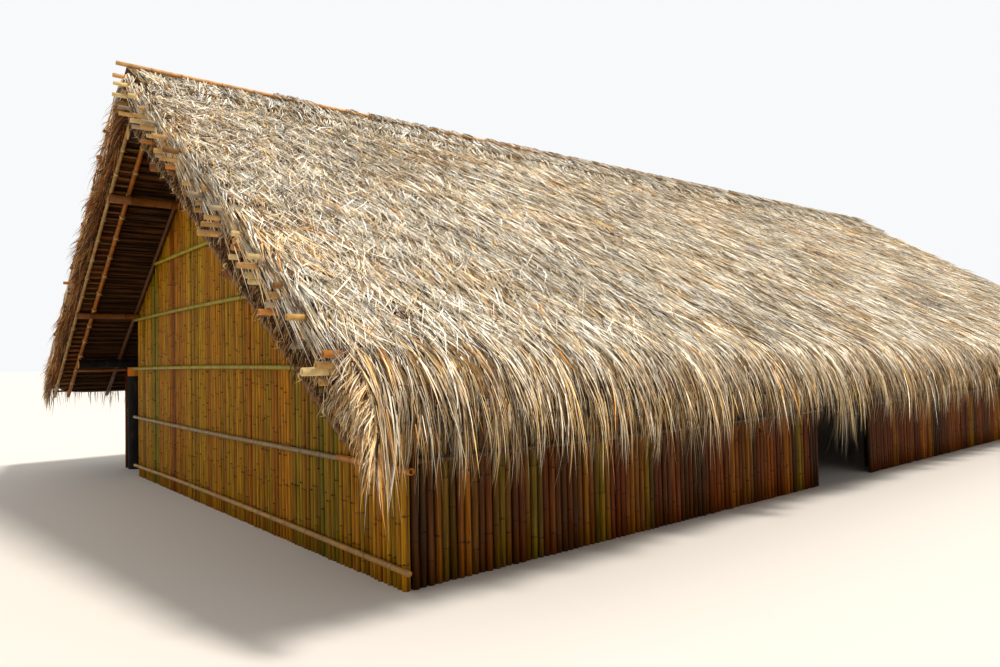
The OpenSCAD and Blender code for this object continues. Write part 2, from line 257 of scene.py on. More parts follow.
def bamboo(shape, rng, start, end, radius, tint, gap=0.30, sides=8, bow=0.0, hollow=0.0, facing=None,
           reach=None):
    """A bamboo pole with a raised dark ring at each node, and open ends where hollow is a wall.

    A pole with a facing has painted shade at both sides of it, in the gaps between canes.
    """
    start, end = np.asarray(start, float), np.asarray(end, float)
    tint = np.asarray(tint)
    length = np.linalg.norm(end - start)
    nodes = node_places(rng, length, gap, reach)
    at_nodes = (nodes[:, None] + np.array([-NODE_W, 0.0, NODE_W])).ravel()
    places = np.concatenate([[0.0], at_nodes, [length]])
    bumps = np.concatenate([[0.0], np.tile([0.0, 1.0, 0.0], len(nodes)), [0.0]])
    share = places / length
    along = (end - start) / length
    side = unit(np.cross(along, [0.0, 0.0, 1.0] if abs(along[2]) < 0.9 else [0.0, 1.0, 0.0]))
    other = np.cross(side, along)
    wave = np.sin(math.pi * share) * bow
    sway = bow * 0.25 * np.sin(share * rng.uniform(5, 8) + rng.uniform(0, 6)) * np.sin(math.pi * share)
    path = start + along * places[:, None] + other * wave[:, None] + side * sway[:, None]
    turn = rng.uniform(0, 6) if facing is None else math.atan2(facing[0], facing[1])
    rings_at = ring_points(path, radius * (1 + NODE_RISE * bumps), sides, turn)
    points = rings_at.reshape(-1, 3)
    shade = (1 - (1 - NODE_SHADE) * bumps)[:, None] * tint[None]
    shade = shade * rng.normal(1.0, 0.05, (len(places), 1)).clip(0.8, 1.2)
    tints = np.repeat(shade, sides, axis=0)
    if facing is not None:
        outward = unit(rings_at - path[:, None]) @ np.array([*facing, 0.0])
        # Painted shade: darker at the sides square to the facing, where the gaps between canes are.
        tints = tints * (GAP_PAINTED_SHADE + (1 - GAP_PAINTED_SHADE) * np.abs(outward).reshape(-1, 1))
    quads = ring_quads(len(places), sides)
    tris = []
    more_points = []
    more_tints = []
    count = len(points)
    for at_end, rim_from in ((False, 0), (True, count - sides)):
        centre = path[-1] if at_end else path[0]
        if hollow:
            rim = points[rim_from:rim_from + sides]
            deep = centre + (-along if at_end else along) * radius * 3
            inner = centre + (rim - centre) * (1 - hollow / radius)
            more_points += [inner, inner + deep - centre, deep[None]]
            pale = tint * WALL_SHADE
            # Painted shade: the bore darkens toward its closed bottom.
            more_tints += [np.tile(pale, (sides, 1)), np.tile(pale * BORE_PAINTED_SHADE, (sides + 1, 1))]
            j = np.arange(sides)
            k = (j + 1) % sides
            for a, b in ((rim_from, count), (count, count + sides)):
                face = np.stack([a + j, a + k, b + k, b + j], -1)
                quads = np.concatenate([quads, face if at_end else face[:, ::-1]])
            tris.append(cap_tris(count + sides, sides, count + 2 * sides, at_end))
            count += 2 * sides + 1
        else:
            more_points.append(centre[None])
            more_tints.append(tint[None] * CUT_SHADE)
            tris.append(cap_tris(rim_from, sides, count, at_end))
            count += 1
    shape.add(np.concatenate([points, *more_points]), np.concatenate([tints, *more_tints]), quads,
              np.concatenate(tris))
    return path[2:-1:3]


def stub(shape, base, direction, length, radius, tint):
    """A four-sided thorn, such as the rest of a twig at a node."""
    direction = unit(np.asarray(direction, float))
    across = square_to(direction) * radius
    up = unit(np.cross(across, direction)) * radius
    points = [base + across, base + up, base - across, base - up, base + direction * length]
    shape.add(points, np.tile(tint, (5, 1)), tris=[(0, 1, 4), (1, 2, 4), (2, 3, 4), (3, 0, 4)])


LOG_SIDES = 18
LOG_STEP = 0.16
LOG_LUMPS = 0.035
RAW_EDGE = 0.008
BURNT = linear((0.30, 0.28, 0.27))
RAW = linear((0.80, 0.46, 0.12))
CUT = linear((0.74, 0.56, 0.32))


def log(shape, rng, start, end, radius, cut, raw_from=None):
    """A burnt log with wandering sides; its ends, and its side from raw_from on, have the tint of the cut."""
    start, end = np.asarray(start, float), np.asarray(end, float)
    length = np.linalg.norm(end - start)
    places = np.linspace(0, length, max(3, int(length / LOG_STEP) + 1))
    if raw_from:
        places = np.sort(np.append(places, [raw_from - RAW_EDGE, raw_from + RAW_EDGE]))
    path = start + (end - start) * (places / length)[:, None]
    angle = np.arange(LOG_SIDES) * 2 * math.pi / LOG_SIDES
    rough = np.zeros((len(places), LOG_SIDES))
    for lobes in (2, 3, 5):
        rough += np.sin(lobes * angle[None] + 4 * places[:, None] * rng.uniform(0.2, 0.9)
                        + rng.uniform(0, 6)) / lobes
    rough += rng.normal(0, 0.25, rough.shape)
    radii = radius * (1 - LOG_LUMPS + LOG_LUMPS * rough * 0.55)
    points = ring_points(path, radii, LOG_SIDES).reshape(-1, 3)
    tints = np.tile(BURNT, (len(points), 1))
    if raw_from:
        tints[np.repeat(places > raw_from, LOG_SIDES)] = cut
    tints = tints * rng.normal(1.0, 0.08, (len(points), 1)).clip(0.7, 1.3)
    shape.add(points, tints, ring_quads(len(places), LOG_SIDES))
    for rim, centre, flip in ((points[:LOG_SIDES], path[0], False), (points[-LOG_SIDES:], path[-1], True)):
        shape.add(np.concatenate([rim, centre[None]]), np.tile(cut, (LOG_SIDES + 1, 1)),
                  tris=cap_tris(0, LOG_SIDES, LOG_SIDES, flip))


# Materials


class Look:
    """A material in the making; its methods add nodes and give back what they put out."""

    def __init__(self, name, roughness, specular=0.5):
        self.material = bpy.data.materials.new(name)
        self.material.use_nodes = True
        self.nodes = self.material.node_tree.nodes
        self.links = self.material.node_tree.links
        self.shader = self.nodes["Principled BSDF"]
        self.shader.inputs["Roughness"].default_value = roughness
        self.shader.inputs["Specular IOR Level"].default_value = specular

    def node(self, kind, output, inputs, **settings):
        """One node, whose inputs are plain values or what other nodes put out."""
        made = self.nodes.new(kind)
        for key, value in settings.items():
            setattr(made, key, value)
        for key, value in inputs.items():
            if isinstance(value, bpy.types.NodeSocket):
                self.links.new(value, made.inputs[key])
            else:
                made.inputs[key].default_value = value
        return made.outputs[output]

    def stretched(self, stretch):
        """Object space, drawn out along the axes where stretch is small."""
        place = self.node("ShaderNodeTexCoord", "Object", {})
        return self.node("ShaderNodeMapping", "Vector", {"Vector": place, "Scale": stretch})

    def noise(self, stretch, detail=4.0, scale=1.0):
        inputs = {"Vector": self.stretched(stretch), "Scale": scale, "Detail": detail}
        return self.node("ShaderNodeTexNoise", "Fac", inputs)

    def tint(self):
        return self.node("ShaderNodeAttribute", "Color", {}, attribute_name="tint")

    def parts(self, vector):
        made = self.nodes.new("ShaderNodeSeparateXYZ")
        self.links.new(vector, made.inputs["Vector"])
        return made.outputs

    def math(self, operation, *values):
        return self.node("ShaderNodeMath", "Value", dict(enumerate(values)), operation=operation)

    def between(self, value, low, high):
        """Where a value lies between low and high, from 0 to 1."""
        return self.node("ShaderNodeMapRange", "Result", {"Value": value, "From Min": low, "From Max": high})

    def ramp(self, source, *stops):
        """A colour by a value. A stop has a place, and a colour as sRGB or one factor for a plain grey."""
        made = self.nodes.new("ShaderNodeValToRGB")
        elements = made.color_ramp.elements
        while len(elements) < len(stops):
            elements.new(0.5)
        for element, (place, colour) in zip(elements, stops):
            element.position = place
            element.color = (*(linear(colour) if np.ndim(colour) else [colour] * 3), 1.0)
        self.links.new(source, made.inputs["Fac"])
        return made.outputs["Color"]

    def mix(self, share, first, second, blend="MIX"):
        inputs = {"Factor": share, "A": first, "B": second}
        return self.node("ShaderNodeMix", "Result", inputs, data_type="RGBA", blend_type=blend)

    def multiply(self, first, second):
        return self.mix(1.0, first, second, "MULTIPLY")

    def finish(self, colour, height, strength, distance):
        self.links.new(colour, self.shader.inputs["Base Color"])
        relief = {"Height": height, "Strength": strength, "Distance": distance}
        self.links.new(self.node("ShaderNodeBump", "Normal", relief), self.shader.inputs["Normal"])
        return self.material


SKIN_RELIEF = 0.002
INSIDE_EDGE = 0.05
RAW_RED = (0.16, 0.24)


def tinted(name, roughness, specular, stretch, low, high, bump, scale=1.0):
    """A material whose colour is the piece's tint, broken by stretched noise."""
    look = Look(name, roughness, specular)
    noise = look.noise(stretch, scale=scale)
    shades = look.ramp(noise, (0.30, low), (0.70, high))
    return look.finish(look.multiply(look.tint(), shades), noise, bump, SKIN_RELIEF)


def thatch_base(name, colour_low, colour_high, shade_from, shade_to):
    """Packed leaf blades, seen between the loose ones, with painted shade: dark at the cut ends and on faces
    that turn down.

    The painted shade starts where the face's downward share is shade_from and is full at shade_to.
    """
    look = Look(name, 0.9, 0.1)
    streaks = look.noise((170.0, 6.0, 6.0), 6.0)
    shades = look.ramp(streaks, (0.35, colour_low), (0.62, colour_high))
    rows = look.noise((2.0, 48.0, 48.0), 3.0)
    painted_shade_colour = look.ramp(rows, (0.40, (0.10, 0.05, 0.02)), (0.62, (0.38, 0.23, 0.10)))
    # Painted shade: faces that turn down and the cut ends take the dark colour.
    normal = look.parts(look.node("ShaderNodeNewGeometry", "Normal", {}))
    below = look.math("MULTIPLY", normal["Z"], -1.0)
    at_end = look.math("SUBTRACT", look.math("ABSOLUTE", normal["X"]), 1.0 - shade_to)
    turned = look.between(look.math("MAXIMUM", below, at_end), shade_from, shade_to)
    return look.finish(look.mix(turned, shades, painted_shade_colour), streaks, 0.8, 0.02)


def lath_material():
    """Thin laths, near black over the rooms, and brighter where they run out past the gable walls."""
    look = Look("lath", 0.6, 0.15)
    kinds = look.ramp(look.node("ShaderNodeNewGeometry", "Random Per Island", {}),
                      (0.0, (0.48, 0.30, 0.12)), (0.35, (0.60, 0.40, 0.18)), (0.6, (0.46, 0.38, 0.16)),
                      (0.8, (0.60, 0.30, 0.10)), (1.0, (0.72, 0.52, 0.28)))
    noise = look.noise((2.5, 40.0, 40.0))
    shades = look.ramp(noise, (0.3, 0.55), (0.7, 1.15))
    away = look.math("ABSOLUTE", look.parts(look.node("ShaderNodeTexCoord", "Object", {}))["X"])
    outside = look.between(away, tie_rafter_x - INSIDE_EDGE, tie_rafter_x + INSIDE_EDGE)
    inside_dark = look.ramp(outside, (0.0, 0.11), (1.0, 0.75))
    return look.finish(look.multiply(look.multiply(kinds, shades), inside_dark), noise, 0.4, 0.004)


def log_material():
    """Burnt wood with a crackled skin; where the tint is bright the wood is raw."""
    look = Look("log", 0.8, 0.15)
    skin = {"Vector": look.stretched((38.0, 38.0, 16.0)), "Scale": 1.0}
    crackle = look.node("ShaderNodeTexVoronoi", "Distance", skin, feature="DISTANCE_TO_EDGE")
    soot = look.noise((14.0, 14.0, 5.0), 6.0)
    char = look.ramp(soot, (0.35, (0.05, 0.04, 0.03)), (0.62, (0.12, 0.10, 0.08)), (0.80, (0.22, 0.16, 0.11)))
    grain = look.ramp(look.noise((60.0, 60.0, 8.0)), (0.3, 0.75), (0.7, 1.1))
    tint = look.tint()
    raw = look.between(look.node("ShaderNodeSeparateColor", "Red", {"Color": tint}), *RAW_RED)
    return look.finish(look.mix(raw, char, look.multiply(tint, grain)), crackle, 0.5, 0.006)


def floor_material():
    look = Look("floor", 0.9)
    look.shader.inputs["Base Color"].default_value = (*linear((0.91, 0.88, 0.84)), 1.0)
    return look.material


BLADE = tinted("leaf_blades", 0.65, 0.25, (150.0, 7.0, 7.0), 0.50, 1.30, 0.20)
CULM = tinted("cane_skin", 0.50, 0.12, (120.0, 120.0, 3.5), 0.40, 1.32, 0.35)
POLE = tinted("pole_skin", 0.50, 0.20, (1.0, 1.0, 1.0), 0.70, 1.20, 0.30, scale=18.0)
LOG = log_material()
PACKED = thatch_base("packed_thatch", (0.20, 0.14, 0.08), (0.72, 0.61, 0.44), 0.62, 0.75)
# Painted shade: a darker copy of the packed thatch, dark on more of its faces, for the eave's body seen
# between the hanging strands.
EAVE_PAINTED_SHADE = thatch_base("packed_eave_painted_shade", (0.16, 0.11, 0.06), (0.60, 0.48, 0.32), -0.60, -0.20)
CAP = thatch_base("packed_ridge", (0.16, 0.11, 0.06), (0.66, 0.55, 0.39), 0.62, 0.75)
LATH = lath_material()


# Cane walls

WALL_CANES = palette(CANE, {"gold": 4, "amber": 5, "olive": 4, "green": 1, "red": 2.5, "dark": 0.4})
# The long walls under the eave take a darker palette than the gable walls: painted shade.
PAINTED_SHADE_CANES = palette(CANE, {"amber": 1, "olive": 0.8, "red": 3, "rust": 6, "dark": 4})
GABLE_WALLS = ((11, -1, "gable_wall_left", 8), (12, 1, "gable_wall_right", 6))
LONG_WALLS = ((13, -1, "front_wall_left"), (14, -1, "front_wall_right"), (15, 1, "back_wall"))
CANE_LIKENESS = 0.45
CANE_FILL = (0.445, 0.495)
GABLE_NODE_GAP = (0.26, 0.40)
LONG_NODE_GAP = (0.42, 0.55)
STUB_SHARE = 0.6
STUB_LENGTH = 0.022
STUB_R = 0.006
STUB_TINT = linear((0.11, 0.06, 0.02))


def cane_places(low, high):
    count = round((high - low - cane_d) / CANE_PITCH) + 1
    return np.linspace(low + cane_d / 2, high - cane_d / 2, count)


def cane_wall(node_name, seed, places, point_at, top_at, facing, colours, sides, gaps):
    """Upright canes, each its own culm; point_at gives a cane's place in the plan."""
    rng = np.random.default_rng(seed)
    shape = Shape()
    tints = pick(rng, colours, len(places), 0.17)
    beside = (np.roll(tints, 1, axis=0) + np.roll(tints, -1, axis=0)) / 2
    tints = tints * (1 - CANE_LIKENESS) + beside * CANE_LIKENESS
    pitch = places[1] - places[0]
    for place, tint in zip(places, tints):
        radius = pitch * rng.uniform(*CANE_FILL)
        x, y = point_at(place + rng.normal(0, 0.002), rng.normal(0, 0.004))
        top_x, top_y = point_at(place + rng.normal(0, 0.006), rng.normal(0, 0.004))
        nodes = bamboo(shape, rng, (x, y, 0.0), (top_x, top_y, top_at(place)), radius, tint,
                       gap=rng.uniform(*gaps), sides=sides, bow=rng.normal(0, 0.003), facing=facing)
        for centre in nodes[rng.random(len(nodes)) < STUB_SHARE]:
            out = Matrix.Rotation(rng.uniform(-1.0, 1.0), 3, "Z") @ Vector((*facing, 0.0))
            base = centre + np.array(out) * radius * 0.97
            stub(shape, base, (*out.xy, 0.8), STUB_LENGTH, STUB_R, STUB_TINT)
    piece = shape.build(f"canes_{node_name}", CULM)
    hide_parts(node_name)


def gable_top(y):
    return ridge_h + RAFTER_D / 2 / COS - abs(y) * math.tan(ROOF_ANGLE) - SEAT


def cane_walls():
    for seed, side, node_name, sides in GABLE_WALLS:
        cane_wall(node_name, seed, cane_places(gable_near_y, gable_far_y),
                  lambda y, out, side=side: (side * (gable_x + out), y),
                  gable_top, (side, 0.0), WALL_CANES, sides, GABLE_NODE_GAP)
    for seed, side, node_name in LONG_WALLS:
        low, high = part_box(node_name)
        cane_wall(node_name, seed, cane_places(low.x, high.x),
                  lambda x, out, side=side: (x, side * (wall_y + out)),
                  lambda x: wall_top, (0.0, side), PAINTED_SHADE_CANES, 6, LONG_NODE_GAP)


# Battens, rails, rafters and purlins

POLES = {
    "olive": (0.58, 0.52, 0.12),
    "tan": (0.66, 0.50, 0.28),
    "grey": (0.56, 0.47, 0.32),
    "lapped": (0.72, 0.46, 0.18),
    "purlin": (0.50, 0.30, 0.10),
    "outer": (0.64, 0.50, 0.30),
    "tie": (0.62, 0.37, 0.12),
    "brown": (0.34, 0.21, 0.09),
    "outer_painted_shade": (0.42, 0.27, 0.09),
    "straw": (0.84, 0.73, 0.50),
    "end_tan": (0.74, 0.57, 0.33),
    "end_grey": (0.62, 0.54, 0.42),
    "end_brown": (0.52, 0.36, 0.17),
    "end_orange": (0.74, 0.48, 0.22),
    "ridge": (0.82, 0.62, 0.40),
}
POLE_SIDES = 10
LAPPED_BATTEN = 1
LAP_LENGTH = 1.00
LAP_OUT = 0.05
LAP_SWELL = 1.12
BATTEN_TINTS = ("tan", "grey", "olive", "olive", "olive")
HIGH_RAIL_Z = 1.2


def pole_tint(name, rng, spread=0.06):
    return linear(POLES[name]) * rng.normal(1.0, spread)


def islands(node_name):
    """Boxes of a node's separate solids, lowest corner and highest corner of each."""
    mesh = frame["nodes"][node_name].data
    places = np.zeros(len(mesh.vertices) * 3)
    mesh.vertices.foreach_get("co", places)
    places = places.reshape(-1, 3)
    _, merged = np.unique(np.round(places, 5), axis=0, return_inverse=True)
    merged = merged.ravel()
    parent = np.arange(merged.max() + 1)
    edges = np.zeros(len(mesh.edges) * 2, np.int64)
    mesh.edges.foreach_get("vertices", edges)
    a, b = merged[edges.reshape(-1, 2)].T
    while True:
        low = np.minimum(parent[a], parent[b])
        before = parent.copy()
        np.minimum.at(parent, a, low)
        np.minimum.at(parent, b, low)
        parent = parent[parent]
        if (parent == before).all():
            break
    groups = parent[merged]
    return [(places[groups == g].min(0), places[groups == g].max(0)) for g in np.unique(groups)]


def poles_on_axis(node_name, seed, axis, tint_at, bow, gap, hollow=0.0):
    """Bamboo in place of each straight rod of a node that lies along one axis."""
    rng = np.random.default_rng(seed)
    shape = Shape()
    rods = sorted(islands(node_name), key=lambda box: (box[0][2] + box[1][2], box[0][0]))
    for index, (low, high) in enumerate(rods):
        middle = (low + high) / 2
        start, end = middle.copy(), middle.copy()
        start[axis], end[axis] = low[axis], high[axis]
        radius = (high - low)[2] / 2
        tint = pole_tint(tint_at(index, low), rng)
        bamboo(shape, rng, start, end, radius, tint, gap, POLE_SIDES, bow=rng.normal(0, bow), hollow=hollow)
        if node_name.startswith("gable_battens") and index == LAPPED_BATTEN:
            lap_from = start - np.array([0.0, LAP_OUT, 0.0])
            lap_to = start + np.array([0.0, LAP_LENGTH, 0.0])
            bamboo(shape, rng, lap_from, lap_to, radius * LAP_SWELL, pole_tint("lapped", rng), sides=12,
                   hollow=0.005)
    piece = shape.build(f"bamboo_{node_name}", POLE)
    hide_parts(node_name)


def rails_and_purlins():
    for seed, name in ((21, "left"), (22, "right")):
        poles_on_axis(f"gable_battens_{name}", seed, 1, lambda index, low: BATTEN_TINTS[index],
                      0.016, 0.34)
    for seed, name in ((23, "front"), (24, "back")):
        poles_on_axis(f"{name}_rails", seed, 0,
                      lambda index, low: "purlin" if low[2] > HIGH_RAIL_Z else "brown",
                      0.004, 0.36, hollow=0.005)
    for seed, name in ((25, "front"), (26, "back")):
        poles_on_axis(f"purlins_{name}", seed, 0, lambda index, low: "purlin",
                      0.004, 0.42, hollow=0.008)
    poles_on_axis("ridge_pole", 27, 0, lambda index, low: "ridge", 0.006, 0.40, hollow=0.006)


RAFTER_ROOM = 0.1
RAFTER_TOP = 0.01
RAFTER_NODE_GAP = 0.45
LASHING_FROM = 0.35
LASHING_GAP = 0.38
LASHING_R = 0.004
LASHING_STEPS = 10
LASHING_SLANT = 0.008
WIND_SHIFT = 0.006
TAIL_LENGTH = 0.055


def rafter_tint(x, side):
    if abs(x) > tie_rafter_x + RAFTER_ROOM:
        # Painted shade: the front slope's outer rafters take a darker copy of the outer rafters' colour.
        return "outer" if side > 0 else "outer_painted_shade"
    if abs(x) > tie_rafter_x - RAFTER_ROOM:
        return "tie"
    return "brown"


def lashings(shape, rng, x, side, width, level):
    """Strips wound twice round a rafter where it is tied to a lath, with the knot's two tails."""
    tint = linear(POLES["straw"])
    reach = width / 2 + LASHING_R
    angle = np.linspace(0, 2 * math.pi, LASHING_STEPS + 1)
    for s in np.arange(LASHING_FROM, rafter_foot - 0.1, LASHING_GAP) + rng.uniform(-0.05, 0.05):
        shade = tint * rng.normal(1, 0.1)
        for shift in (-WIND_SHIFT, WIND_SHIFT):
            y, z = slope_yz(s + shift + LASHING_SLANT * np.sin(angle), level + reach * np.cos(angle))
            path = np.stack([x + reach * np.sin(angle), side * y, z], -1)
            points = ring_points(path, np.full(len(path), LASHING_R), 4).reshape(-1, 3)
            shape.add(points, np.tile(shade, (len(points), 1)), ring_quads(len(path), 4))
        y, z = slope_yz(s, level - reach)
        for turn in rng.uniform(-0.5, 0.5, 2) + np.array([0.0, math.pi]):
            direction = (math.cos(turn), side * 0.3 * math.sin(turn), -0.35 + 0.4 * math.sin(turn))
            stub(shape, np.array([x, side * y, z]), direction, TAIL_LENGTH, LASHING_R, shade)


def rafters():
    """Rafters of both slopes, and the lashings that tie the outer ones to the laths."""
    for seed, (side, name) in zip((31, 32), SIDES):
        rng = np.random.default_rng(seed)
        shape = Shape()
        ties = Shape()
        node_name = f"rafters_{name}"
        for low, high in islands(node_name):
            x = (low[0] + high[0]) / 2
            width = high[0] - low[0]
            level = (width - RAFTER_D) / 2
            upper = slope_yz(RAFTER_TOP - level * SIN / COS, level)
            lower = slope_yz(rafter_foot, level)
            bamboo(shape, rng, (x, side * upper[0], upper[1]), (x, side * lower[0], lower[1]), width / 2,
                   pole_tint(rafter_tint(x, side), rng), RAFTER_NODE_GAP, POLE_SIDES)
            if abs(x) > tie_rafter_x - RAFTER_ROOM:
                lashings(ties, rng, x, side, width, level)
        piece = shape.build(f"bamboo_{node_name}", POLE)
        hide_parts(node_name)
        ties.build(f"lashings_{name}", POLE)


# Logs

RAW_BAND = 0.13
RIDGE_POST_SINK = 0.02
LOG_NODES = ("wall_posts_front", "wall_posts_back", "ridge_posts",
             "wall_plate_front", "wall_plate_back", "ridge_beam")


def posts(shape, rng, node_name):
    """Upright logs; those under the wall plates have an unburnt band at the top."""
    at_wall = "wall" in node_name
    for low, high in islands(node_name):
        x, y, _ = (low + high) / 2
        top = plate_z - plate_d / 2 if at_wall else high[2] - RIDGE_POST_SINK
        raw_from = top - RAW_BAND if at_wall else None
        log(shape, rng, (x, y, 0.0), (x, y, top), (high[0] - low[0]) / 2, RAW, raw_from)


def logs():
    for seed, node_name in enumerate(LOG_NODES, 41):
        rng = np.random.default_rng(seed)
        shape = Shape()
        if "posts" in node_name:
            posts(shape, rng, node_name)
        else:
            low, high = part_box(node_name)
            _, y, z = (low + high) / 2
            log(shape, rng, (low.x, y, z), (high.x, y, z), (high.z - low.z) / 2, CUT)
        piece = shape.build(f"logs_{node_name}", LOG)
        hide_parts(node_name)


# The outer face of the thatch


def bend(a, b, c, t):
    return a * (1 - t) ** 2 + b * 2 * t * (1 - t) + c * t ** 2


bend_s = (COURSES - 1) * course_pitch + COURSE_LAP
bend_start = np.array(slope_yz(bend_s, top_n + COURSE_STEP / 2))
bend_shoulder = np.array(slope_yz(rafter_foot + BEND_REACH, top_n + COURSE_STEP))
bend_tip = np.array([slope_yz(rafter_foot, 0)[0] + FRINGE_OUT, FRINGE_Z])


def surface_table():
    """The outer face of the thatch as a curve down the slope and over the eave."""
    start = (0.0 - top_n * SIN) / COS
    slope = np.linspace(start, bend_s, 300)
    flat = np.stack(slope_yz(slope, top_n + COURSE_STEP / 2), -1)
    t = np.linspace(0, 1, 60)[1:, None]
    curve = bend(bend_start, bend_shoulder, bend_tip, t)
    down = bend_tip + np.array([0.02, -1.0]) * np.linspace(0.02, 0.9, 20)[:, None]
    line = np.concatenate([flat, curve, down])
    steps = np.linalg.norm(np.diff(line, axis=0), axis=1)
    place = start + np.concatenate([[0], np.cumsum(steps)])
    along = unit(np.gradient(line, axis=0))
    normal = np.stack([-along[:, 1], along[:, 0]], -1)
    normal *= np.where(normal[:, 1:] + normal[:, :1] < 0, -1, 1)
    return place, line, normal


SURFACE, SURFACE_LINE, SURFACE_NORMAL = surface_table()
ridge_s = SURFACE[0]
fringe_s = SURFACE[np.searchsorted(-SURFACE_LINE[:, 1], -FRINGE_Z)]


def on_surface(place, lift):
    """Points on the outer face of the back slope, lifted out from it: y and z."""
    y = np.interp(place, SURFACE, SURFACE_LINE[:, 0])
    z = np.interp(place, SURFACE, SURFACE_LINE[:, 1])
    ny = np.interp(place, SURFACE, SURFACE_NORMAL[:, 0])
    nz = np.interp(place, SURFACE, SURFACE_NORMAL[:, 1])
    return y + ny * lift, z + nz * lift


def course_lift(place, s):
    """How far a blade that starts at s stands above the mean face, on the step of its own course."""
    course = np.floor((s - COURSE_LAP) / course_pitch)
    share = (place - COURSE_LAP) / course_pitch - course[:, None]
    inside = s[:, None] < bend_s
    return np.where(inside, COURSE_STEP * (share.clip(0, 1.3) - 0.5), 0.0)


# Leaf blades, with one row of each array for each blade

SUNNY = palette(STRAW, {"cream": 10, "pale": 7, "tan": 3.5, "gold": 1.2, "orange": 0.25, "grey": 1.5,
                        "brown": 1.5, "dark": 1.2})
WARM = palette(STRAW, {"cream": 3, "pale": 4, "tan": 4, "gold": 3.5, "orange": 1.0, "grey": 0.6,
                       "brown": 1.6, "dark": 0.6})
HANGING = palette(STRAW, {"pale": 4, "tan": 4, "gold": 5, "orange": 1.8, "brown": 1.5, "dark": 0.8})
# Darker straw for the deep verge blades: painted shade.
PAINTED_SHADE_STRAW = palette(STRAW, {"tan": 1, "gold": 3, "orange": 3.5, "brown": 3.5, "dark": 3})
WARM_FROM = 0.50
WARM_AT_ENDS = (0.8, 0.30)
WARM_AT_RIDGE = (0.35, 1.4)
CLUMP_TABLE = 4096
COMBED_HEADING = -0.27
COMBED_REACH = 0.6
EDGE_ROOM = 0.06
EDGE_DROOP = 0.6


def lay(shape, rng, centres, normals, roll, widths, tints):
    """Flat pointed blades from their middle lines, each rolled a little about its own length.

    The normals say which way the blades face before they roll.
    """
    count, steps, _ = centres.shape
    along = unit(np.gradient(centres, axis=1))
    across = unit(np.cross(along, normals))
    up = np.cross(across, along)
    turn = rng.normal(0, roll, (count, 1, 1))
    half = (across * np.cos(turn) + up * np.sin(turn))[:, :-1] * widths[:, :-1, None] / 2
    edges = np.stack([centres[:, :-1] - half, centres[:, :-1] + half], 2).reshape(count, -1, 3)
    points = np.concatenate([edges, centres[:, -1:]], axis=1)
    tints = np.broadcast_to(tints, centres.shape)
    colours = np.concatenate([np.repeat(tints[:, :-1], 2, axis=1), tints[:, -1:]], axis=1)
    each = points.shape[1]
    base = np.arange(count)[:, None] * each
    i = np.arange(steps - 2)[None] * 2
    quads = np.stack([base + i, base + i + 1, base + i + 3, base + i + 2], -1)
    last = base[:, 0] + each - 3
    tris = np.stack([last, last + 1, last + 2], -1)
    shape.add(points.reshape(-1, 3), colours.reshape(-1, 3), quads, tris)


def clumps(seed, x, s, across, along):
    """The same random number from 0 to 1 for all blades of one clump."""
    table = np.random.default_rng(seed).random(CLUMP_TABLE)
    column = np.floor(x / across).astype(int)
    row = np.floor(s / along + table[column % CLUMP_TABLE] * 3).astype(int)
    return table[(column * 73 + row * 911 + seed * 17) % CLUMP_TABLE]


def clumps_on_line(seed, x, across):
    return clumps(seed, x, 0 * x, across, 1.0)


def patches(x, s):
    """Slow variation over the roof, from about -1 to 1."""
    return (np.sin(x * 1.7 + 0.8 * np.sin(s * 2.1)) * np.sin(s * 2.9 + x * 0.6)
            + 0.6 * np.sin(x * 4.3 + s * 3.7) * np.sin(s * 5.1 - x * 1.3)) / 1.6


def straw_tints(rng, x, s):
    """Colours of sunlit straw, warmer in patches, at the ends and toward the ridge."""
    cool = pick(rng, SUNNY, len(x), 0.14)
    warm = pick(rng, WARM, len(x), 0.14)
    at_ends = WARM_AT_ENDS[0] * np.exp((np.abs(x) - roof_end) / WARM_AT_ENDS[1])
    at_ridge = WARM_AT_RIDGE[0] * np.exp(-(s / WARM_AT_RIDGE[1]) ** 2)
    warmth = patches(x, s) + (at_ends + at_ridge) + rng.normal(0, 0.35, len(x))
    return np.where((warmth > WARM_FROM)[:, None], warm, cool)


def over_edge(across, z):
    """Blades that run past the cut edge of the roof bend down over it."""
    over = np.maximum(np.abs(across) - roof_end, 0.0)
    held = roof_end + EDGE_ROOM * np.tanh(over / EDGE_ROOM)
    return np.where(over > 0, np.sign(across) * held, across), z - EDGE_DROOP * over


def combed(x):
    """Mean heading of the blades: they lie a little toward the near gable, but for those at its edge."""
    return COMBED_HEADING * (1 - np.exp(-(x + roof_end) / COMBED_REACH))


# Loose blades on the slopes

BLADE_BANDS = 3
BLADES = {"front": 36000, "back": 11000}
BLADES_FROM = 0.25
BLADES_PAST_BEND = 0.20
LYING_STEPS = np.array([0.0, 0.55, 1.0])
LYING_PROFILE = np.array([0.75, 1.0, 0.0])
# Painted shade at a blade's root, covered by the blades above, and painted light at its tip.
LYING_PAINTED_SHADE = np.array([0.70, 1.0, 1.08])[:, None]
LYING_LENGTH = (0.30, 1.1)
LYING_WIDTH = (0.006, 0.017)
LYING_ROLL = 0.6
LOOSE_SHARE = 0.80
NEAR_CROWD = 1.30
BACK_WIDER = 1.5
FAR_WIDER = 0.2
CLUMP_ACROSS = 0.045
CLUMP_ALONG = 0.45
EDGE_REACH = 0.22
EDGE_FAN = 0.4
EDGE_SWELL = 0.6


